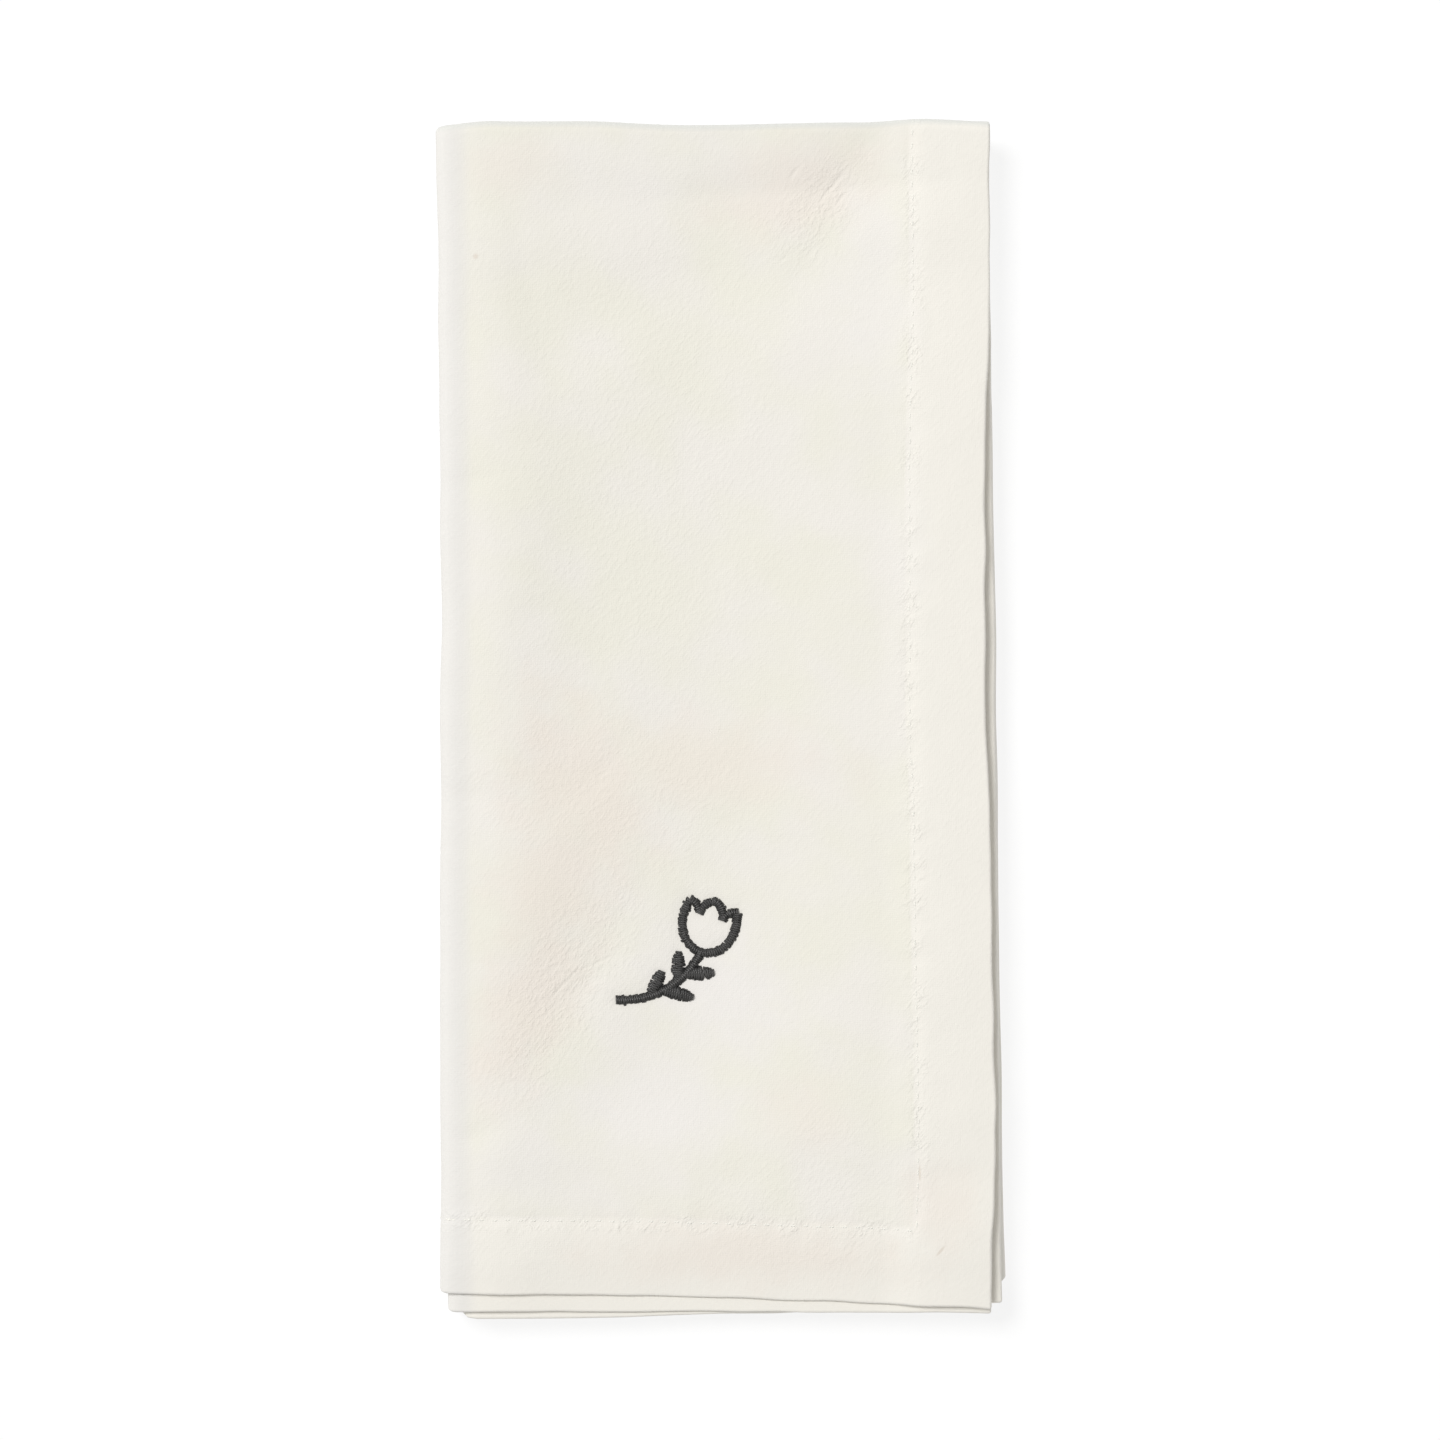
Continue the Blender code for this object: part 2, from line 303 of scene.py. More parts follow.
def on_cloth(across, along, out):
    """Where a point of the flat cloth ends up. Out is its height above the outer face."""
    stretch, share, over_x, height, face_x, face_z = across_folds(across)
    turned = over_x
    ply, down, over_y, lift, back, up = over_crease(along)
    depth = LAYER / 2 + out
    lift += depth * up
    over_y += depth * back
    over_x += lift * face_x
    height += lift * face_z
    if share < 0.5:
        over_x, height = squared(over_x, height)

    left = table_value(SIDES, down, "left") + HEIGHT / 2
    if stretch.left is INNER_ROLL:
        left += INNER_SLACK
    right = table_value(SIDES, down, stretch.side)
    if stretch.right is RIGHT_FOLD:
        right -= RIGHT_BULGE
    x = left + (right - left) * share
    x += noise.noise(Vector((SIDE_WAVES[0] * share, SIDE_WAVES[1] * down, 0))) * UNEVEN

    late = min(max(share, 0.0), 1.0) ** SLANT
    top_short = stretch.left.top + (stretch.right.top - stretch.left.top) * late
    at_left, at_right = getattr(stretch.left, ply), getattr(stretch.right, ply)
    bottom_short = at_left + (at_right - at_left) * late
    top = LENGTH / 2 - top_short * MM
    bottom = -LENGTH / 2 + bottom_short * MM
    y = top + (bottom - top) * down
    y += table_value(RISES, (x + over_x - left) / WIDTH, "up") * (1 - down) ** RISE_FADE
    y += noise.noise(Vector((END_WAVES[0] * share, END_WAVES[1] * down, 9))) * UNEVEN
    radius = OUTER_RADIUS if stretch.left is OUTER_ROLL else INNER_RADIUS
    drawn_back = corner(radius + turned + share * (right - left), FOLD_CORNER)
    if stretch.right is RIGHT_FOLD:
        drawn_back += corner(INNER_RADIUS - turned + (1 - share) * (right - left), FOLD_CORNER)
    else:
        drawn_back += corner((1 - share) * (right - left) - turned, HEM_CORNER)
    y += drawn_back * bell((1 - down) * LENGTH, CORNER_REACH)

    scale = swelling(x, y)
    x += over_x * scale
    y += over_y * scale
    return Vector((x, y, settled(x, y, height)))


def inset(across, along):
    """Distance in from the nearest hem's edge."""
    return min(across, along, CLOTH_WIDTH - across, CLOTH_LENGTH - along)


def lines(*spans):
    """Grid lines from a row of (end, step) spans, each beginning where the last one ends."""
    at, found = 0.0, [0.0]
    for end, step in spans:
        count = max(round((end - at) / step), 1)
        found += [(at + (end - at) * (i + 1) / count) * MM for i in range(count)]
        at = end
    return found


# Between grid lines, in millimetres: on the hem's band, across its seam and on the cloth beyond
Steps = namedtuple("Steps", "band seam cloth")
SHOWN = Steps(1.1, 0.3, 1.1)
HIDDEN = Steps(4.4, 0.6, 10.0)
EDGE_END, EDGE_STEP = 0.6, 0.15
BAND_END, SEAM_END = 13.6, 16.0
ROLL_STEP = 0.75
RIGHT_STEP = 0.6
INNER_STEP = 0.8
TOP_STEP = 0.3


def stretch_lines(length, steps):
    """Grid lines from a hem's edge to the far end of its stretch."""
    hem = (EDGE_END, EDGE_STEP), (BAND_END, steps.band), (SEAM_END, steps.seam)
    return lines(*hem, (length / MM, steps.cloth))


def across_lines():
    """Grid lines along the cloth's width: fine on the stretch that shows, coarse inside."""
    found = stretch_lines(WIDTH, SHOWN)
    start = WIDTH
    for part, step in ((OUTER_TURN, ROLL_STEP), (LOWEST, HIDDEN.cloth), (RIGHT_TURN, RIGHT_STEP),
                       (THIRD, HIDDEN.cloth), (INNER_TURN, INNER_STEP)):
        size = path_length(part)
        found += [start + line for line in lines((size / MM, step))[1:]]
        start += size
    return found + [CLOTH_WIDTH - line for line in reversed(stretch_lines(WIDTH, HIDDEN)[:-1])]


def along_lines():
    """Grid lines along the cloth's length: fine on the outer ply, coarser on the inner one."""
    crease = [LENGTH + line for line in lines((CREASE_LENGTH / MM, TOP_STEP))[1:]]
    inner = [CLOTH_LENGTH - line for line in reversed(stretch_lines(LENGTH, HIDDEN)[:-1])]
    return stretch_lines(LENGTH, SHOWN) + crease + inner


# Kinds of unevenness of the cloth, by how far they rise and how broad they are, in millimetres
Unevenness = namedtuple("Unevenness", "rise size")
SLACK = Unevenness(0.1, 24.0)
BROAD = Unevenness(0.12, 13.0)
CRINKLE = Unevenness(0.07, 2.6)
CRINKLE_LENGTH = 6.0
CRINKLE_TURN = -50  # degrees
PUCKER = Unevenness(0.13, 3.2)
PUCKER_REACH = 4.5 * MM  # to each side of the seam
SEAM_SINK = 0.05 * MM  # how far the stitches press the cloth in
SEAM_REACH = 1.1 * MM
BAND_RISE = 0.07 * MM  # how far the turned hem stands over the single cloth
BAND_START, BAND_FULL = HEM + 1.4 * MM, HEM - 1.8 * MM
ROUND_ROLL = WIDTH + OUTER_RADIUS * 1.6  # the upper face, as far round the roll as it shows
ROLL_FADE = 4 * MM


def relief(across, along):
    """Unevenness of the cloth: slight everywhere, and fine on the upper face."""
    place = Vector((across, along, 0)) / MM
    slack = noise.noise(place / SLACK.size) * SLACK.rise * MM
    if across > ROUND_ROLL or along > LENGTH:
        return slack
    turned = Matrix.Rotation(math.radians(CRINKLE_TURN), 3, "Z") @ place
    drawn_out = Vector((turned.x / CRINKLE_LENGTH, turned.y / CRINKLE.size, 1.0))
    crinkle = noise.noise(drawn_out) * CRINKLE.rise
    broad = noise.noise(place / BROAD.size) * BROAD.rise
    rise = (crinkle + broad) * MM

    near = inset(across, along)
    from_seam = abs(near - HEM)
    rise -= SEAM_SINK * bell(from_seam, SEAM_REACH)
    band = BAND_RISE * eased(BAND_START, BAND_FULL, near)
    pucker = noise.noise(Vector((across, along, 7.0 * MM)) / (PUCKER.size * MM))
    rise += band + PUCKER.rise * MM * pucker * bell(from_seam, PUCKER_REACH)
    return slack + rise * eased(0.0, ROLL_FADE, ROUND_ROLL - across)


columns, rows = across_lines(), along_lines()
cloth = bmesh.new()
bmesh.ops.create_grid(cloth, x_segments=len(columns) - 1, y_segments=len(rows) - 1, size=0.5)
underside = set(cloth.verts)
bmesh.ops.extrude_face_region(cloth, geom=cloth.faces[:])
for vert in cloth.verts:
    vert.co.z = 0.0 if vert in underside else 1.0
bmesh.ops.recalc_face_normals(cloth, faces=cloth.faces[:])

flat_place = {}
for vert in cloth.verts:
    column = round((0.5 - vert.co.x) * (len(columns) - 1))
    row = round((vert.co.y + 0.5) * (len(rows) - 1))
    flat_place[vert] = columns[column], rows[row]

flat_map = cloth.loops.layers.uv.new("flat_cloth")
for face in cloth.faces:
    for loop in face.loops:
        loop[flat_map].uv = flat_place[loop.vert]

STRAY_SIZE = 9 * MM  # of the hems' uneven edges
STRAY_REACH = 6 * MM
HEM_STEP = 0.4 * MM  # over which the turned hem thins out to the single cloth
for vert, (across, along) in flat_place.items():
    near = inset(across, along)
    thickness = PLAIN + (HEMMED - PLAIN) * eased(HEM + TURN_IN + HEM_STEP, HEM + TURN_IN, near)
    share = math.sqrt(1 - max(1 - near / EDGE_ROUND, 0.0) ** 2)
    face = vert.co.z * 2 - 1
    out = -thickness / 2 + face * thickness / 2 * share + relief(across, along)
    stray = noise.noise(Vector((across, along, 0)) / STRAY_SIZE) * UNEVEN * bell(near, STRAY_REACH)
    vert.co = on_cloth(across + stray, along + stray, out)

# The two faces meet along the sheet's edge. Its corners are split inwards, so that they stay closed
bmesh.ops.remove_doubles(cloth, verts=cloth.verts[:], dist=0.001 * MM)
for vert in [vert for vert in cloth.verts if len(vert.link_faces) == 2]:
    for face in list(vert.link_faces):
        ring = list(face.verts)
        bmesh.utils.face_split(face, vert, ring[ring.index(vert) - 2])

# The pile is set over the solid, and its sewing is moved with it
pile_low, pile_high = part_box("napkin")
middle = [0.0, 0.0]
for axis in (0, 1):
    places = [vert.co[axis] for vert in cloth.verts]
    middle[axis] = (pile_low[axis] + pile_high[axis] - min(places) - max(places)) / 2
TO_PILE = Vector((*middle, 0.0))
bmesh.ops.translate(cloth, verts=cloth.verts[:], vec=TO_PILE)

cloth_mesh = bpy.data.meshes.new("napkin_cloth")
cloth.to_mesh(cloth_mesh)
cloth.free()
cloth_mesh.shade_smooth()
napkin = bpy.data.objects.new("napkin_cloth", cloth_mesh)
bpy.context.scene.collection.objects.link(napkin)


def new_node(tree, kind, sockets=None, **settings):
    """A node with its settings, each socket given a value or another node's output."""
    node = tree.nodes.new(kind)
    for name, value in settings.items():
        setattr(node, name, value)
    for name, value in (sockets or {}).items():
        if isinstance(value, bpy.types.NodeSocket):
            tree.links.new(value, node.inputs[name])
        else:
            node.inputs[name].default_value = value
    return node


def calc(tree, operation, *terms):
    """A sum on values and other nodes' outputs."""
    return new_node(tree, "ShaderNodeMath", dict(enumerate(terms)), operation=operation).outputs[0]


def ramp(tree, value, start, end):
    """A smooth mask that goes from 0 where the value is start to 1 where it is end."""
    sockets = {"Value": value, "From Min": start, "From Max": end}
    return new_node(tree, "ShaderNodeMapRange", sockets, interpolation_type="SMOOTHSTEP").outputs[0]


# Noise drawn out along a direction, in millimetres and degrees
Grain = namedtuple("Grain", "long short turn detail")
CLOUDS = Grain(26, 18, 40, 2.0)
BROKEN_EDGES = Grain(7, 7, 0, 3.0)
HERE_AND_THERE = Grain(7, 7, 0, 1.0)
PUCKERS = Grain(1.5, 0.65, 128, 1.5)
CROSSING_PUCKERS = Grain(1.2, 0.6, 62, 1.5)


def grain(tree, place, kind):
    """A noise of one of these kinds, from 0 to 1."""
    spot = new_node(tree, "ShaderNodeMapping", {
        "Vector": place,
        "Rotation": (0, 0, math.radians(kind.turn)),
        "Scale": (kind.long, kind.short, 1),
    }, vector_type="TEXTURE").outputs[0]
    sockets = {"Vector": spot, "Scale": 1.0, "Detail": kind.detail, "Roughness": 0.55}
    return new_node(tree, "ShaderNodeTexNoise", sockets).outputs["Fac"]


def reach_of(tree, place, spot):
    """How far out a point is from a spot's middle, where its long and short ways both reach 1."""
    away = new_node(tree, "ShaderNodeMapping", {
        "Vector": place,
        "Location": (spot.across, spot.along, 0),
        "Rotation": (0, 0, math.radians(spot.turn)),
        "Scale": (spot.long, spot.short, 1),
    }, vector_type="TEXTURE").outputs[0]
    return new_node(tree, "ShaderNodeVectorMath", {0: away}, operation="LENGTH").outputs["Value"]


def tinted(tree, mask, plain, colour):
    """A colour that goes over to another one by a mask."""
    mix = new_node(tree, "ShaderNodeMix", {0: mask, 6: plain, 7: colour}, data_type="RGBA")
    return mix.outputs[2]


# Patches of painted shade, warm and a little darker, and of painted light, a little paler, and where
# the washed cloth is more crumpled, in millimetres and degrees
Patch = namedtuple("Patch", "name tone across along long short turn strength")
PATCHES = (
    Patch("upper right", "painted_shade", 37, 219, 22, 11, 168, 0.6),
    Patch("upper left", "painted_shade", 92, 222, 12, 7, 0, 0.4),
    Patch("middle", "painted_shade", 56, 105, 32, 11, 0, 0.55),
    Patch("left of the middle", "painted_shade", 79, 100, 24, 17, 70, 0.75),
    Patch("above the valley", "painted_shade", 84, 80, 22, 14, 110, 0.7),
    Patch("lower left", "painted_shade", 89, 58, 26, 11, 118, 0.75),
    Patch("lower right", "painted_shade", 36, 37, 11, 9, 20, 0.4),
    Patch("corner of the hem", "painted_shade", 10, 20, 10, 8, 80, 0.5),
    Patch("bottom hem", "painted_shade", 48, 9, 38, 8, 0, 0.6),
    Patch("about the flower", "painted_light", 52, 61, 19, 15, 20, 1.0),
    Patch("below the flower", "painted_light", 66, 37, 24, 10, 0, 0.9),
    Patch("lower left corner", "painted_light", 90, 24, 14, 9, 0, 0.7),
    Patch("side seam", "painted_light", 17, 150, 24, 7, 90, 0.4),
    Patch("foot of the side seam", "painted_light", 17, 23, 11, 8, 60, 0.4),
    Patch("upper right of the middle", "painted_light", 22, 198, 28, 9, 90, 0.7),
    Patch("top hem", "painted_light", 66, 222, 44, 8, 0, 0.5),
    Patch("upper right, by the crease", "crumpled", 33, 214, 15, 8, 125, 1.0),
    Patch("lower left valley", "crumpled", 82, 62, 30, 12, 118, 0.9),
    Patch("left of the middle, creased", "crumpled", 74, 100, 34, 20, 10, 0.35),
    Patch("middle of the cloth", "crumpled", 66, 165, 62, 30, 90, 0.3),
    Patch("bottom hem, creased", "crumpled", 34, 18, 26, 14, 10, 0.35),
    Patch("lower right, creased", "crumpled", 31, 31, 12, 9, 0, 0.25),
)

# Sharp little creases, too fine for the grid, in millimetres and degrees
Pleat = namedtuple("Pleat", "name across along long short turn depth")
PLEATS = (
    Pleat("upper right", 30.0, 219.4, 5.6, 0.8, 129, 0.12),
    Pleat("upper right, beside it", 28.7, 216.6, 2.6, 0.6, 126, 0.08),
    Pleat("upper right, small", 37.6, 221.8, 2.3, 0.7, 128, 0.08),
    Pleat("upper right, lower", 39.6, 205.0, 2.4, 0.6, 137, 0.05),
    Pleat("valley", 82.8, 61.0, 6.6, 0.65, 134, 0.08),
    Pleat("valley, upper end", 76.0, 65.7, 5.6, 0.6, 155, 0.05),
    Pleat("valley, above", 87.0, 69.5, 3.0, 0.6, 138, 0.045),
)

# A small fleck in the cotton, and painted shade at a pucker between the stitches and along the
# corner's mitre, in millimetres and degrees
Mark = namedtuple("Mark", "name across along long short turn")
MARKS = (
    Mark("fleck by the roll", 99, 205, 0.75, 0.75, 0),
    Mark("painted shade of a pucker between the stitches", 14.5, 26, 2.2, 0.32, 88),
    Mark("painted shade along the corner's mitre", 10, 11, 1.8, 0.4, -52),
)

# a fleck's own colour, also used as painted shade at a pucker and along the mitre
FLECK_AND_SHADE_COLOUR = (0.78, 0.72, 0.64, 1)
CLOTH_COLOUR = (0.852, 0.83, 0.738, 1)
HEM_COLOUR = (0.887, 0.857, 0.788, 1)
# painted shade on the roll's outer curve
FOLD_SHADE_COLOUR = (0.81, 0.79, 0.752, 1)
# painted shade along the top crease's edge
TOP_CREASE_SHADE_COLOUR = (0.73, 0.73, 0.69, 1)
# painted shade: warm and darker, where the upper face falls away from the lamp
WARM_SHADE_COLOUR = (0.864, 0.793, 0.715, 1)
PALE_COLOUR = (0.865, 0.835, 0.778, 1)
# painted light: paler, where the upper face turns towards the lamp
PAINTED_LIGHT_COLOUR = (0.868, 0.838, 0.797, 1)

# Middles of the roll and of the top crease, in millimetres of the flat cloth
FOLD_MIDDLE = (WIDTH + OUTER_TURN.radius * math.pi / 2) / MM
TOP_MIDDLE = (LENGTH + CREASE_LENGTH / 2) / MM

# Heights in the bump, in millimetres
PUCKER_HEIGHT = 0.023
CRUMPLED_HEIGHT = 0.05  # more than that, where the cloth is crumpled
WEAVE_HEIGHT = 0.014
FUZZ_HEIGHT = 0.012

ROUGHNESS = 0.8
FUZZ_ROUGHNESS = 0.16  # more than that, where the fuzz stands up
YARN = 0.44  # from one yarn to the next, in millimetres
YARN_SWAY = 0.9  # how far the yarns wander, in millimetres

cotton = bpy.data.materials.new("soft_cotton")
cotton.use_nodes = True
tree = cotton.node_tree
shader = tree.nodes["Principled BSDF"]
flat = new_node(tree, "ShaderNodeUVMap", uv_map="flat_cloth").outputs[0]
place = new_node(tree, "ShaderNodeVectorMath", {0: flat, 3: 1 / MM}, operation="SCALE").outputs[0]
spot = new_node(tree, "ShaderNodeSeparateXYZ", {0: place})
across, along = spot.outputs[0], spot.outputs[1]

# The hems, by the distance in from the nearest edge
near_side = calc(tree, "MINIMUM", across, calc(tree, "SUBTRACT", CLOTH_WIDTH / MM, across))
near_end = calc(tree, "MINIMUM", along, calc(tree, "SUBTRACT", CLOTH_LENGTH / MM, along))
near = calc(tree, "MINIMUM", near_side, near_end)
hem_band = ramp(tree, near, HEM / MM + 1.1, HEM / MM + 0.5)

# Patches of painted shade, painted light and crumpling, with broken edges
ragged = calc(tree, "MULTIPLY", grain(tree, place, BROKEN_EDGES), 1.3)
tones = {"painted_shade": 0.0, "painted_light": 0.0, "crumpled": 0.0}
for patch in PATCHES:
    one = ramp(tree, calc(tree, "ADD", reach_of(tree, place, patch), ragged), 1.9, 0.8)
    one = calc(tree, "MULTIPLY", one, patch.strength)
    tones[patch.tone] = calc(tree, "MAXIMUM", tones[patch.tone], one)

# Plain weave with uneven yarns
sway = new_node(tree, "ShaderNodeTexNoise", {"Vector": place, "Scale": 0.3, "Detail": 2.0})
by = {0: sway.outputs["Color"], 3: YARN_SWAY}
swayed = new_node(tree, "ShaderNodeVectorMath", by, operation="SCALE")
woven = new_node(tree, "ShaderNodeVectorMath", {0: place, 1: swayed.outputs[0]})
yarns = new_node(tree, "ShaderNodeSeparateXYZ", {0: woven.outputs[0]})
warp = calc(tree, "SINE", calc(tree, "MULTIPLY", yarns.outputs[0], math.pi / YARN))
weft = calc(tree, "SINE", calc(tree, "MULTIPLY", yarns.outputs[1], math.pi / YARN))
warp_on_top = ramp(tree, calc(tree, "MULTIPLY", warp, weft), -0.12, 0.12)
warp_round, weft_round = calc(tree, "ABSOLUTE", warp), calc(tree, "ABSOLUTE", weft)
warp_height = calc(tree, "MULTIPLY", warp_round, calc(tree, "MULTIPLY_ADD", weft_round, 0.5, 0.5))
weft_height = calc(tree, "MULTIPLY", weft_round, calc(tree, "MULTIPLY_ADD", warp_round, 0.5, 0.5))
weave = new_node(tree, "ShaderNodeMix", {0: warp_on_top, 2: weft_height, 3: warp_height}).outputs[0]

# Small bent puckers running two ways, crowded in the crumpled places
bent = woven.outputs[0]
puckers = ramp(tree, grain(tree, bent, PUCKERS), 0.35, 0.8)
crossing = ramp(tree, grain(tree, bent, CROSSING_PUCKERS), 0.35, 0.8)
crinkle = calc(tree, "MULTIPLY_ADD", crossing, 0.8, puckers)
from_seam = calc(tree, "ABSOLUTE", calc(tree, "SUBTRACT", near, HEM / MM))
here_and_there = ramp(tree, grain(tree, place, HERE_AND_THERE), 0.42, 0.6)
drawn_in = calc(tree, "MULTIPLY", ramp(tree, from_seam, 3.0, 0.6), here_and_there)
crumpled = calc(tree, "MAXIMUM", tones["crumpled"], calc(tree, "MULTIPLY", drawn_in, 1.7))
crinkled = calc(tree, "MULTIPLY_ADD", crumpled, CRUMPLED_HEIGHT, PUCKER_HEIGHT)

# Colour: pale clouds, then the hems, the patches of painted light and painted shade, the fleck and the
# marks of painted shade, and painted shade along the folds over them
pale = ramp(tree, grain(tree, place, CLOUDS), 0.35, 0.68)
base = tinted(tree, pale, CLOTH_COLOUR, PALE_COLOUR)
base = tinted(tree, hem_band, base, HEM_COLOUR)
# painted light, a little paler, in patches
base = tinted(tree, tones["painted_light"], base, PAINTED_LIGHT_COLOUR)
# painted shade, warm and darker, in patches
base = tinted(tree, tones["painted_shade"], base, WARM_SHADE_COLOUR)
# the fleck's own colour, and painted shade at the pucker and the mitre
for mark in MARKS:
    reach = reach_of(tree, place, mark)
    base = tinted(tree, ramp(tree, reach, 1.0, 0.3), base, FLECK_AND_SHADE_COLOUR)
# painted shade round the roll's fold
from_fold = calc(tree, "ABSOLUTE", calc(tree, "SUBTRACT", across, FOLD_MIDDLE))
base = tinted(tree, ramp(tree, from_fold, 8.0, 4.5), base, FOLD_SHADE_COLOUR)
# painted shade along the top crease
from_top = calc(tree, "ABSOLUTE", calc(tree, "SUBTRACT", along, TOP_MIDDLE))
base = tinted(tree, ramp(tree, from_top, 1.3, 0.5), base, TOP_CREASE_SHADE_COLOUR)
tree.links.new(base, shader.inputs["Base Color"])

# Bump: puckers, pleats, weave and a little fuzz
fibres = new_node(tree, "ShaderNodeTexNoise", {"Vector": place, "Scale": 3.2, "Detail": 2.0})
fuzz = fibres.outputs["Fac"]
height = calc(tree, "MULTIPLY", crinkle, crinkled)
for pleat in PLEATS:
    trough = ramp(tree, reach_of(tree, place, pleat), 1.0, 0.0)
    height = calc(tree, "MULTIPLY_ADD", trough, -pleat.depth, height)
height = calc(tree, "MULTIPLY_ADD", weave, WEAVE_HEIGHT, height)
height = calc(tree, "MULTIPLY_ADD", fuzz, FUZZ_HEIGHT, height)
bump = new_node(tree, "ShaderNodeBump", {"Strength": 1.0, "Distance": MM, "Height": height})
tree.links.new(bump.outputs[0], shader.inputs["Normal"])
rough = calc(tree, "MULTIPLY_ADD", fuzz, FUZZ_ROUGHNESS, ROUGHNESS)
tree.links.new(rough, shader.inputs["Roughness"])
shader.inputs["Sheen Weight"].default_value = 0.12
shader.inputs["Sheen Roughness"].default_value = 0.45
shader.inputs["Specular IOR Level"].default_value = 0.25
cloth_mesh.materials.append(cotton)

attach(napkin, "root")
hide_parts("napkin")

# ---------------------------------------------------------------------------------------------
# The hems' topstitching. Cream cotton thread in a plain lockstitch, sewn all round the square
# through the turned hem. Each stitch is a short thread that dives into the cloth at both ends.
# ---------------------------------------------------------------------------------------------
STITCH = 2.5 * MM  # from one needle hole to the next
STITCH_GAP = 0.3 * MM  # between the ends of neighbouring stitches
SEWING_THREAD = 0.42 * MM
THREAD_FLAT = 0.6  # how thick a pressed thread is against its breadth
STITCH_SUNK = 0.02 * MM  # a stitch's middle, below the cloth's face
STITCH_DIVE = 0.21 * MM  # and how much further down its ends go
STITCH_STRAY = 0.06 * MM  # to the side of the seam
STITCH_UNEVEN = 0.08 * MM  # in length


def thread_template(name, sides, cuts):
    """A straight thread of unit length and thickness, cut across so that it can be bent."""
    shape = bmesh.new()
    thread_map = shape.loops.layers.uv.new("thread")
    bmesh.ops.create_cone(shape, cap_ends=True, segments=sides, radius1=0.5, radius2=0.5, depth=1)
    bmesh.ops.rotate(shape, verts=shape.verts[:], matrix=Matrix.Rotation(math.pi / 2, 3, "Y"))
    for cut in cuts:
        bmesh.ops.bisect_plane(shape, geom=shape.verts[:] + shape.edges[:] + shape.faces[:],
                               plane_co=(cut, 0, 0), plane_no=(1, 0, 0))
    for face in shape.faces:
        for loop in face.loops:
            point = loop.vert.co
            loop[thread_map].uv = point.x, math.atan2(point.y, point.z) / math.tau
    mesh = bpy.data.meshes.new(name)
    shape.to_mesh(mesh)
    shape.free()
    return mesh


def sewn(name, template, stitches, place, hand):
    """One mesh of many threads: place carries a template's point to where its stitch lies."""
    work = bmesh.new()
    for _ in stitches:
        work.from_mesh(template)
    size = len(template.vertices)
    shade = work.verts.layers.float.new("shade")
    shades = [hand.random() for _ in stitches]
    for index, vert in enumerate(work.verts):
        vert[shade] = shades[index // size]
        vert.co = place(stitches[index // size], vert.co) + TO_PILE
    mesh = bpy.data.meshes.new(name)
    work.to_mesh(mesh)
    work.free()
    mesh.shade_smooth()
    piece = bpy.data.objects.new(name, mesh)
    bpy.context.scene.collection.objects.link(piece)
    return piece


def hem_side(start, end, hand):
    """The stitches of one side of the hem, as middle, heading and length, a little uneven."""
    start, end = Vector(start), Vector(end)
    heading = (end - start).normalized()
    count = round((end - start).length / STITCH)
    for number in range(count):
        middle = start.lerp(end, (number + 0.5) / count)
        aside = Vector((-heading.y, heading.x)) * hand.gauss(0, STITCH_STRAY)
        yield middle + aside, heading, STITCH - STITCH_GAP + hand.gauss(0, STITCH_UNEVEN)


def tapered(share, taper, least):
    """A thread's thickness along it, from 1 in the middle to its least at both ends."""
    return math.sqrt(max(1 - (taper * share) ** 2, least))


def lay_stitch(stitch, point):
    """Where a point of the straight thread lies in its stitch."""
    middle, heading, length = stitch
    slim = tapered(point.x, 1.9, 0.05)
    along = point.x * length
    aside = point.y * SEWING_THREAD * slim
    spot = middle + heading * along + Vector((-heading.y, heading.x)) * aside
    sunk = STITCH_SUNK + STITCH_DIVE * (2 * point.x) ** 2
    out = point.z * THREAD_FLAT * SEWING_THREAD * slim - sunk
    return on_cloth(spot.x, spot.y, out + relief(spot.x, spot.y))


hand = random.Random(5)  # the sewer's hand, which is a little uneven
far_across, far_along = CLOTH_WIDTH - HEM, CLOTH_LENGTH - HEM
corners = ((HEM, HEM), (far_across, HEM), (far_across, far_along), (HEM, far_along))
hem_stitches = []
for start, end in zip(corners, corners[1:] + corners[:1]):
    hem_stitches += hem_side(start, end, hand)
stitch_shape = thread_template("stitch_shape", 6, (-0.44, -0.3, 0.0, 0.3, 0.44))
stitching = sewn("hem_stitching", stitch_shape, hem_stitches, lay_stitch, hand)

# Twisted thread, used for both kinds of sewing: the plies' ridges round each stitch, and a colour made
# of painted shade in the grooves between the plies, a painted highlight along each thread's crown, and
# a tone that differs a little from stitch to stitch. The colour comes from these shares
GROOVE_SHADE_SHARE = 0.15
CROWN_HIGHLIGHT_SHARE = 0.55
STITCH_SHARE = 0.35
twist = bpy.data.node_groups.new("thread_twist", "ShaderNodeTree")
twist.interface.new_socket("Turns", in_out="INPUT", socket_type="NodeSocketFloat")
twist.interface.new_socket("Plies", in_out="INPUT", socket_type="NodeSocketFloat")
twist.interface.new_socket("Height", in_out="OUTPUT", socket_type="NodeSocketFloat")
twist.interface.new_socket("Shade", in_out="OUTPUT", socket_type="NodeSocketFloat")
given = twist.nodes.new("NodeGroupInput")
result = twist.nodes.new("NodeGroupOutput")
thread_uv = new_node(twist, "ShaderNodeUVMap", uv_map="thread").outputs[0]
round_thread = new_node(twist, "ShaderNodeSeparateXYZ", {0: thread_uv})
lengthwise = calc(twist, "MULTIPLY", round_thread.outputs[0], given.outputs["Turns"])
winding = calc(twist, "MULTIPLY_ADD", round_thread.outputs[1], given.outputs["Plies"], lengthwise)
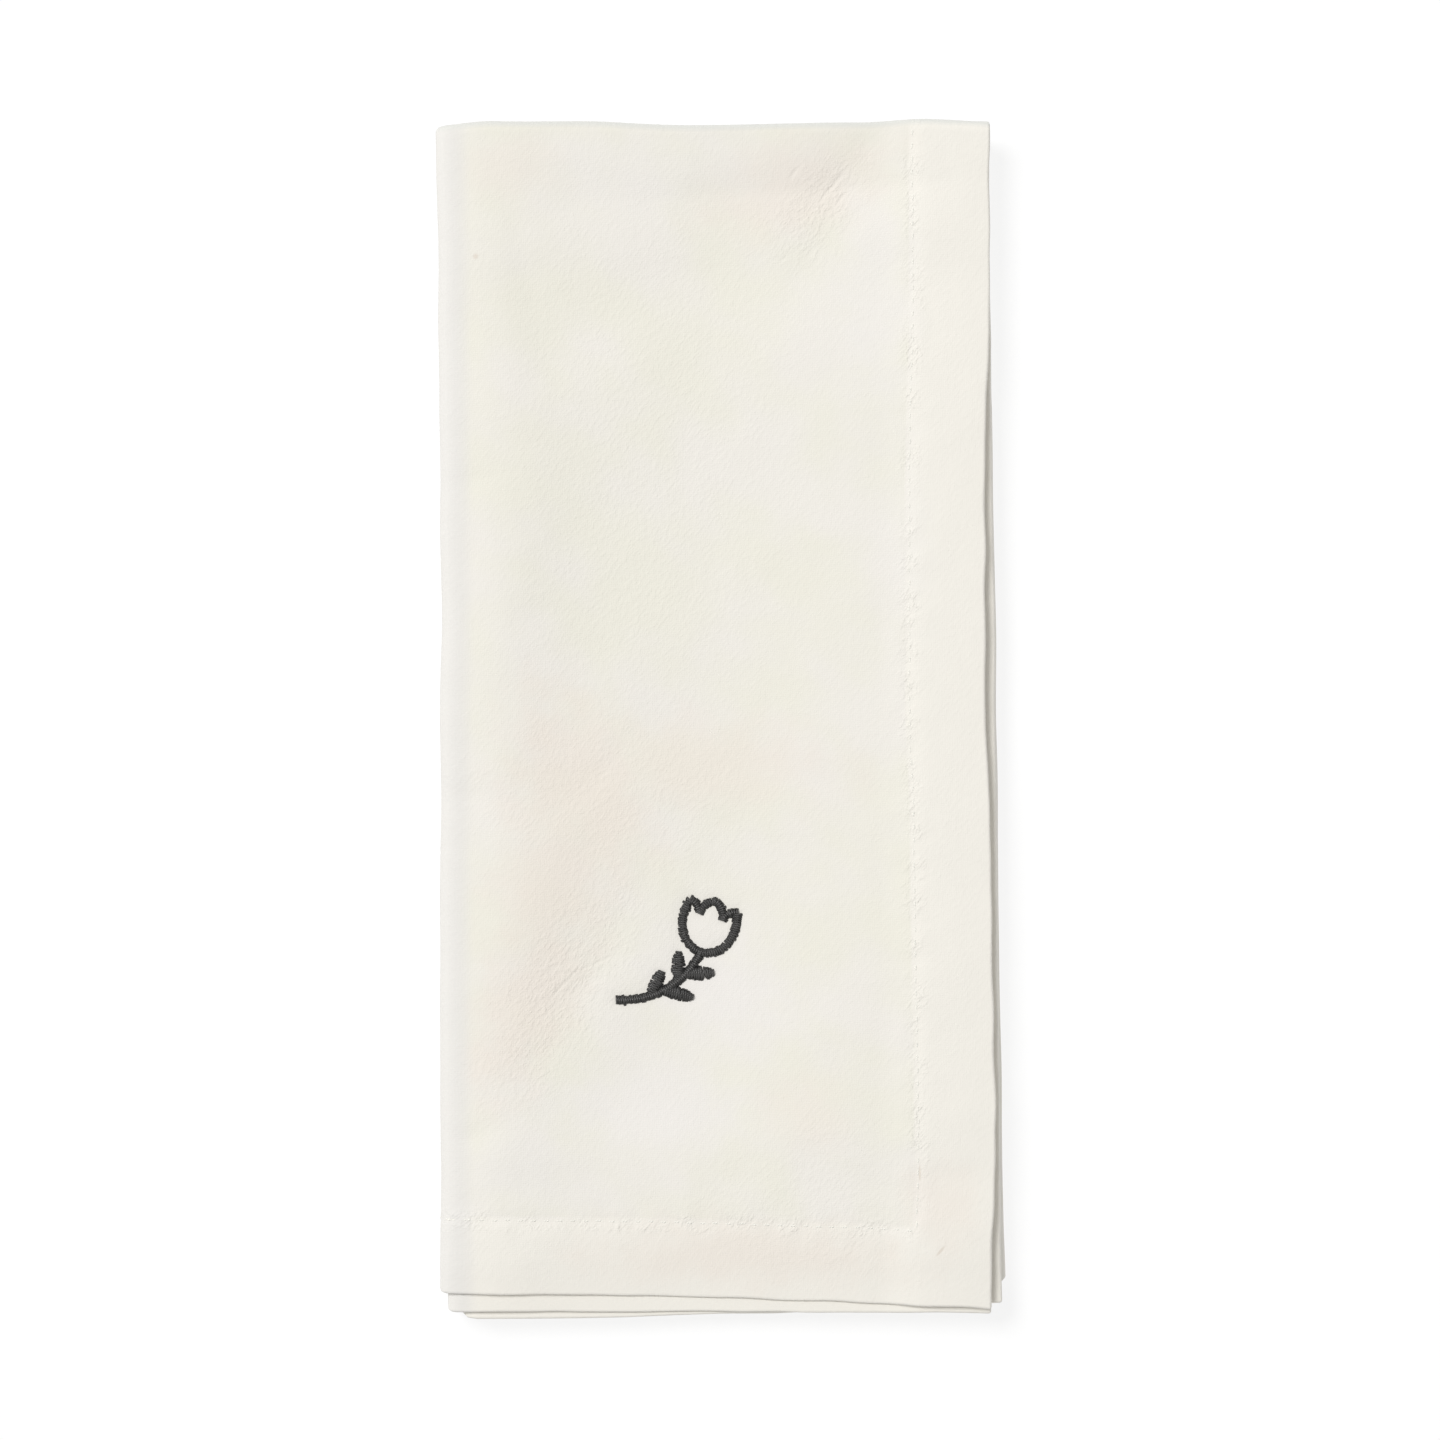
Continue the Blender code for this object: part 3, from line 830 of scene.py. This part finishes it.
# the ridges, which are also painted shade in the grooves between the plies
ridges = calc(twist, "SINE", calc(twist, "MULTIPLY", winding, math.tau))
stitch_shade = new_node(twist, "ShaderNodeAttribute", attribute_name="shade").outputs["Fac"]
# painted highlight along the middle of each thread, its crown
crown_highlight = calc(twist, "COSINE", calc(twist, "MULTIPLY", round_thread.outputs[0], math.pi))
crown_highlight = calc(twist, "POWER", crown_highlight, 2.0)
crown_highlight = calc(twist, "MULTIPLY", crown_highlight, CROWN_HIGHLIGHT_SHARE)
shade = calc(twist, "MULTIPLY_ADD", ridges, GROOVE_SHADE_SHARE, crown_highlight)
shade = calc(twist, "MULTIPLY_ADD", stitch_shade, STITCH_SHARE, shade)
twist.links.new(ridges, result.inputs["Height"])
twist.links.new(shade, result.inputs["Shade"])


def thread_material(name, turns, plies, dark, light, depth):
    """Two or three plies twisted together, as ridges in the bump, and in the colour as painted shade
    in the grooves and a painted highlight along each thread's crown.
    """
    material = bpy.data.materials.new(name)
    material.use_nodes = True
    tree = material.node_tree
    shader = tree.nodes["Principled BSDF"]
    twisted = new_node(tree, "ShaderNodeGroup", node_tree=twist)
    twisted.inputs["Turns"].default_value = turns
    twisted.inputs["Plies"].default_value = plies
    # painted shade and painted highlight, from the dark colour to the light one
    colour = tinted(tree, twisted.outputs["Shade"], dark, light)
    tree.links.new(colour, shader.inputs["Base Color"])
    sockets = {"Distance": depth, "Height": twisted.outputs["Height"]}
    tree.links.new(new_node(tree, "ShaderNodeBump", sockets).outputs[0], shader.inputs["Normal"])
    return material, shader


cream, shader = thread_material("cream_thread", 4, 2, (0.88, 0.86, 0.79, 1),
                                (0.93, 0.91, 0.845, 1), 0.03 * MM)
shader.inputs["Roughness"].default_value = 0.8
shader.inputs["Specular IOR Level"].default_value = 0.2
stitching.data.materials.append(cream)

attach(stitching, "root")

# ---------------------------------------------------------------------------------------------
# The embroidered flower: a small tulip on a bent stem with leaves, in charcoal thread. It is
# satin stitch, close threads laid side by side across each line, over a little padding.
# ---------------------------------------------------------------------------------------------
FLOWER_ACROSS = 56.0 * MM  # from the side hem's edge to the foot of the bloom
FLOWER_ALONG = 68.2 * MM  # from the bottom edge
BLOOM_LEAN = 16  # degrees to the right
LINE = 1.75 * MM  # breadth of the drawn lines
SATIN_PITCH = 0.44 * MM
SATIN_THREAD = 0.5 * MM
SATIN_RISE = 0.55 * MM  # of a thread's middle over its ends, for the padding under it
SATIN_SUNK = 0.12 * MM  # the ends of a thread, below the cloth's face
SATIN_TURN = 5  # how far threads turn from square to their line, in degrees
SATIN_STRAY = 0.05 * MM
SATIN_UNEVEN = 0.14 * MM  # in length
CURVE_POINTS = 40
RIB_STEPS = 20

# Curves of the bloom's right half from its foot up, and the stem from the bloom down, as the
# end points and handles of each, in millimetres
Curve = namedtuple("Curve", "start leave arrive end")
BLOOM_HALF = (
    Curve((0, 0), (3.6, 0.1), (6.4, 4.3), (4.6, 9.6)),
    Curve((4.6, 9.6), (3.7, 9.5), (2.7, 8.8), (2.3, 7.5)),
    Curve((2.3, 7.5), (2.1, 8.9), (1.3, 10.2), (0, 10.5)),
)
STEM = Curve((0, 0), (-2.4, -4.8), (-7.4, -10.0), (-16.2, -9.8))
Leaf = namedtuple("Leaf", "along_stem turn length breadth")
LEAVES = (
    Leaf(0.30, -44, 5.6, 2.8),
    Leaf(0.42, 48, 5.6, 2.8),
    Leaf(0.58, -42, 5.6, 2.8),
    Leaf(0.72, 46, 5.4, 2.7),
)


def curve_points(curve, turned=0.0, mirror=1):
    """Points along a curve, after it is mirrored and turned about the foot of the bloom."""
    spin = Matrix.Rotation(math.radians(-turned), 2)
    knots = [spin @ Vector((mirror * x, y)) * MM for x, y in curve]
    start, leave, arrive, end = (Vector((*knot, 0)) for knot in knots)
    points = geometry.interpolate_bezier(start, leave, arrive, end, CURVE_POINTS)
    return [point.xy for point in points]


def satin(points, breadth, hand):
    """Threads across a line of points, as middle, heading and length. Breadth gives the line's
    breadth by the share of the way along it."""
    steps = [(b - a).length for a, b in zip(points, points[1:])]
    total = sum(steps)
    count = max(round(total / SATIN_PITCH), 2)
    for number in range(count + 1):
        share = number / count
        left = share * total
        for (a, b), step in zip(zip(points, points[1:]), steps):
            if left <= step:
                break
            left -= step
        middle = a.lerp(b, min(left / step, 1.0))
        ahead = (b - a).normalized()
        across = Vector((-ahead.y, ahead.x))
        across.rotate(Matrix.Rotation(math.radians(hand.gauss(0, SATIN_TURN)), 2))
        middle = middle + across * hand.gauss(0, SATIN_STRAY)
        yield middle, across, breadth(share) + hand.gauss(0, SATIN_UNEVEN)


def line_breadth(share):
    return LINE


def leaf_breadth(leaf):
    """A leaf's breadth by the share along its rib: full in its middle and blunt at both ends."""
    return lambda share: leaf.breadth * MM * math.sin(math.pi * (0.14 + 0.76 * share)) ** 0.6


hand = random.Random(11)
flower_threads = []
for curve in BLOOM_HALF:
    for mirror in (1, -1):
        flower_threads += satin(curve_points(curve, BLOOM_LEAN, mirror), line_breadth, hand)
stem = curve_points(STEM)
flower_threads += satin(stem, line_breadth, hand)
for leaf in LEAVES:
    at = round(leaf.along_stem * (len(stem) - 1))
    up_stem = (stem[at - 1] - stem[at]).normalized()
    up_stem.rotate(Matrix.Rotation(math.radians(leaf.turn), 2))
    tip = stem[at] + up_stem * leaf.length * MM
    rib = [stem[at].lerp(tip, step / RIB_STEPS) for step in range(RIB_STEPS + 1)]
    flower_threads += satin(rib, leaf_breadth(leaf), hand)


def lay_satin(thread, point):
    """Where a point of the straight thread lies, humped over the padding."""
    middle, heading, length = thread
    aside = Vector((-heading.y, heading.x)) * point.y * SATIN_THREAD
    spot = middle + heading * point.x * length + aside
    hump = SATIN_RISE * (1 - (2 * point.x) ** 2) - SATIN_SUNK
    out = hump + point.z * SATIN_THREAD * tapered(point.x, 1.85, 0.12)
    across, along = FLOWER_ACROSS - spot.x, FLOWER_ALONG + spot.y
    return on_cloth(across, along, out + relief(across, along))


thread_shape = thread_template("thread_shape", 6, (-0.42, -0.24, 0.0, 0.24, 0.42))
flower = sewn("satin_flower", thread_shape, flower_threads, lay_satin, hand)
charcoal, shader = thread_material("charcoal_thread", 3, 2, (0.01, 0.01, 0.01, 1),
                                   (0.085, 0.083, 0.08, 1), 0.03 * MM)
shader.inputs["Roughness"].default_value = 0.4
shader.inputs["Specular IOR Level"].default_value = 0.5
flower.data.materials.append(charcoal)

# The tight threads draw the cloth in beneath and around them
PULL = 0.22 * MM
PULL_REACH = 1.6 * MM
sewn_spots = kdtree.KDTree(len(flower_threads))
for index, thread in enumerate(flower_threads):
    sewn_spots.insert(lay_satin(thread, Vector((0, 0, 0))) + TO_PILE, index)
sewn_spots.balance()
for vert in napkin.data.vertices:
    away = sewn_spots.find(vert.co)[2]
    vert.co.z -= PULL * bell(away, PULL_REACH)

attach(flower, "root")

# ---------------------------------------------------------------------------------------------
# Floor, lights and camera. The napkin lies on white paper in a bright white room, under one
# large soft lamp at the upper left, and is seen from straight above.
# ---------------------------------------------------------------------------------------------
FLOOR_REACH = 7  # metres each way
PAPER_GLOW = 0.8  # light that the paper gives of its own, to stay white
ROOM_LIGHT = 0.44
LAMP_PLACE = (-1.9, 1.7, 3.9)
LAMP_SIZE = 2.0
LAMP_POWER = 150  # watts
AIM = Vector((-0.2, -0.1, 10)) * MM  # middle of the view, on the napkin's upper face
FRAME_WIDTH = 278.0 * MM  # width of the view there

floor_mesh = bpy.data.meshes.new("floor")
ground = bmesh.new()
bmesh.ops.create_grid(ground, x_segments=1, y_segments=1, size=FLOOR_REACH)
ground.to_mesh(floor_mesh)
ground.free()
floor = bpy.data.objects.new("floor", floor_mesh)
bpy.context.scene.collection.objects.link(floor)
paper = bpy.data.materials.new("white_paper")
paper.use_nodes = True
shader = paper.node_tree.nodes["Principled BSDF"]
shader.inputs["Base Color"].default_value = (0.2, 0.2, 0.2, 1)
shader.inputs["Emission Color"].default_value = (1, 1, 1, 1)
shader.inputs["Emission Strength"].default_value = PAPER_GLOW
shader.inputs["Roughness"].default_value = 0.9
floor_mesh.materials.append(paper)

scene = bpy.context.scene
world = bpy.data.worlds.new("studio")
scene.world = world
world.use_nodes = True
world.node_tree.nodes["Background"].inputs["Color"].default_value = (1, 1, 1, 1)
world.node_tree.nodes["Background"].inputs["Strength"].default_value = ROOM_LIGHT

key_light = bpy.data.lights.new("key", "AREA")
key_light.shape = "DISK"
key_light.size = LAMP_SIZE
key_light.energy = LAMP_POWER
key = bpy.data.objects.new("key", key_light)
key.location = LAMP_PLACE
key.rotation_euler = (-key.location).to_track_quat("-Z", "Y").to_euler()
scene.collection.objects.link(key)

camera_data = bpy.data.cameras.new("camera")
camera_data.lens = 120
camera_data.sensor_width = 36
camera = bpy.data.objects.new("camera", camera_data)
camera.location = AIM
camera.location.z += FRAME_WIDTH * camera_data.lens / camera_data.sensor_width
scene.collection.objects.link(camera)
scene.camera = camera
scene.view_settings.view_transform = "Standard"
